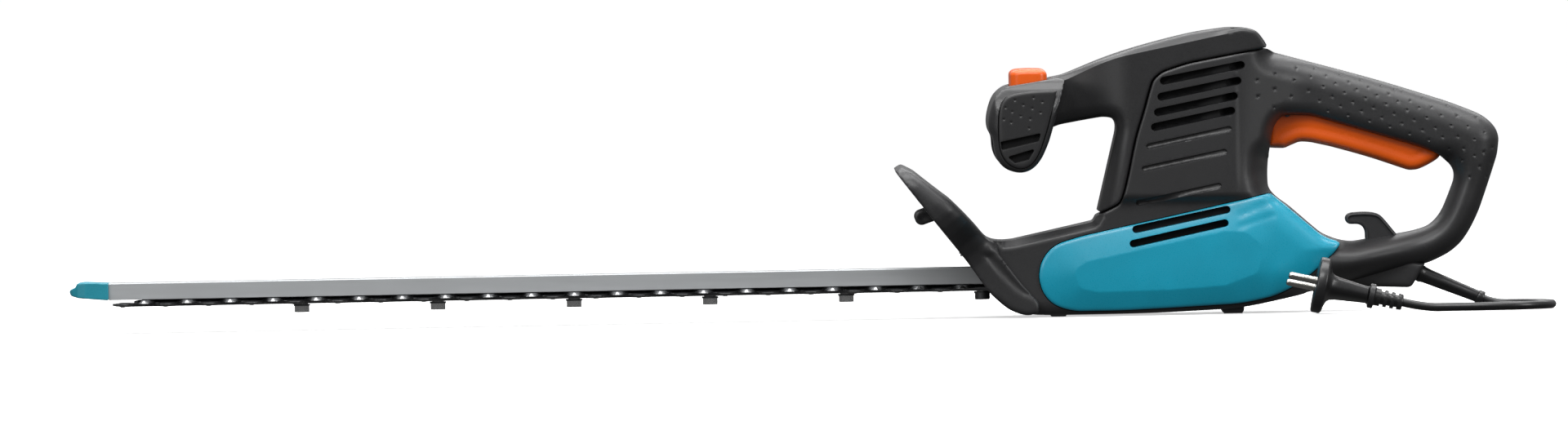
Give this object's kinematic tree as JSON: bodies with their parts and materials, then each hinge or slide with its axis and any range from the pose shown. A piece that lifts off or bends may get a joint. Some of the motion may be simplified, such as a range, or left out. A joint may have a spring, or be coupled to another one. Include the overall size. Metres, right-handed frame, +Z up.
{
  "type": "hedge trimmer",
  "caption": "Corded electric hedge trimmer with a long double-sided reciprocating blade, hand guard, transverse front handle and rear loop handle.",
  "frame": {"origin": "middle of the tool's length on the ground plane under its two feet, on the middle plane of the housing", "axes": "+X along the blade from the tip towards the rear handle, +Y to the operator's right, +Z up"},
  "size_m": [0.9811, 0.1689, 0.1887],
  "materials": {
    "plastic_charcoal": "fine matte grain",
    "soft_grip": "soft touch, dimpled",
    "plastic_turquoise": "satin",
    "plastic_orange": "satin",
    "tip_plastic": "satin",
    "rail_aluminium": "satin anodised",
    "knife_steel": "ground flanks, dark faces",
    "dark_steel": "blackened",
    "bright_steel": "zinc plated",
    "cast_aluminium": "as cast",
    "sintered_bronze": "plain",
    "copper_winding": "lacquered",
    "carbon": "plain",
    "inner_plastic": "plain",
    "cord_rubber": "glossy",
    "pin_nickel": "nickel plated"
  },
  "bodies": {
    "frame": {"housing_left": "plastic_charcoal", "housing_right": "plastic_charcoal", "handle_arm": "plastic_charcoal", "front_handle": "plastic_charcoal", "hand_guard": "plastic_charcoal", "cable_hook": "plastic_charcoal", "grip_pad_left": "soft_grip", "grip_pad_right": "soft_grip", "side_panel_left": "plastic_turquoise", "side_panel_right": "plastic_turquoise", "tip_guard": "tip_plastic", "guide_rail": "rail_aluminium", "blade_washers": "dark_steel", "rear_blade_nut": "dark_steel", "blade_bolts": "dark_steel", "stator_core": "dark_steel", "blade_nuts": "bright_steel", "slide_bushes": "bright_steel", "tip_screws": "bright_steel", "guard_screws": "bright_steel", "gear_case_screws": "bright_steel", "rail_screws": "bright_steel", "motor_bearings": "bright_steel", "trigger_pin": "bright_steel", "housing_screws": "bright_steel", "clamp_screws": "bright_steel", "front_spring_left": "bright_steel", "front_spring_right": "bright_steel", "trigger_spring": "bright_steel", "gear_base_plate": "bright_steel", "motor_bracket": "bright_steel", "gear_case": "cast_aluminium", "crank_bushes": "sintered_bronze", "brush_holders": "sintered_bronze", "field_coils": "copper_winding", "carbon_brushes": "carbon", "front_microswitch": "inner_plastic", "main_switch": "inner_plastic", "noise_capacitor": "inner_plastic", "cord_clamp": "inner_plastic", "strain_relief": "cord_rubber", "mains_cord": "cord_rubber", "plug_body": "cord_rubber", "plug_pins": "pin_nickel"},
    "knife_up": {"upper_knife": "knife_steel"},
    "knife_low": {"lower_knife": "knife_steel"},
    "crank": {"crank_shaft": "bright_steel", "crank_gear": "bright_steel", "cam_upper": "bright_steel", "cam_lower": "bright_steel"},
    "rotor": {"armature_shaft": "bright_steel", "armature_core": "dark_steel", "armature_windings": "copper_winding", "commutator": "copper_winding", "cooling_fan": "inner_plastic", "motor_pinion": "bright_steel"},
    "switch_bar": {"front_switch_bar": "plastic_orange"},
    "front_pin": {"front_plunger": "inner_plastic"},
    "trigger": {"rear_trigger": "plastic_orange"},
    "rear_pin": {"main_plunger": "inner_plastic"}
  },
  "joints": [
    {"name": "motor_spin", "type": "hinge", "parent": "frame", "child": "rotor", "pos_m": [0.274, 0, 0.09], "axis": [0, 0, 1], "range_deg": [-450, 450]},
    {"name": "crank_turn", "type": "hinge", "parent": "frame", "child": "crank", "pos_m": [0.244, 0, 0.027], "axis": [0, 0, 1], "range_deg": [-90, 90]},
    {"name": "upper_knife_slide", "type": "slide", "parent": "frame", "child": "knife_up", "axis": [1, 0, 0], "range_m": [-0.00711, 0.00711]},
    {"name": "lower_knife_slide", "type": "slide", "parent": "frame", "child": "knife_low", "axis": [1, 0, 0], "range_m": [-0.00711, 0.00711]},
    {"name": "front_switch_press", "type": "slide", "parent": "frame", "child": "switch_bar", "axis": [0, 0, -1], "range_m": [0, 0.004], "stiffness_N_per_m": 900, "springref_m": -0.002, "deforming": ["front_spring_left", "front_spring_right"]},
    {"name": "front_plunger_press", "type": "slide", "parent": "frame", "child": "front_pin", "axis": [0, 0, -1], "range_m": [0, 0.004]},
    {"name": "rear_trigger_pull", "type": "hinge", "parent": "frame", "child": "trigger", "pos_m": [0.334, 0, 0.131], "axis": [0, -1, 0], "range_deg": [0, 4.5], "stiffness_Nm_per_rad": 8, "springref_deg": -114.59, "deforming": ["trigger_spring"]},
    {"name": "rear_plunger_press", "type": "slide", "parent": "frame", "child": "rear_pin", "axis": [0, 0, 1], "range_m": [0, 0.0043]}
  ],
  "couplings": [
    {"joint": "crank_turn", "follows": "motor_spin", "ratio": -0.2},
    {"joint": "upper_knife_slide", "follows": "motor_spin", "m_per_rad": 0.000904},
    {"joint": "lower_knife_slide", "follows": "motor_spin", "m_per_rad": -0.000904},
    {"joint": "front_plunger_press", "follows": "front_switch_press", "ratio": 1},
    {"joint": "rear_plunger_press", "follows": "rear_trigger_pull", "m_per_rad": 0.054}
  ]
}
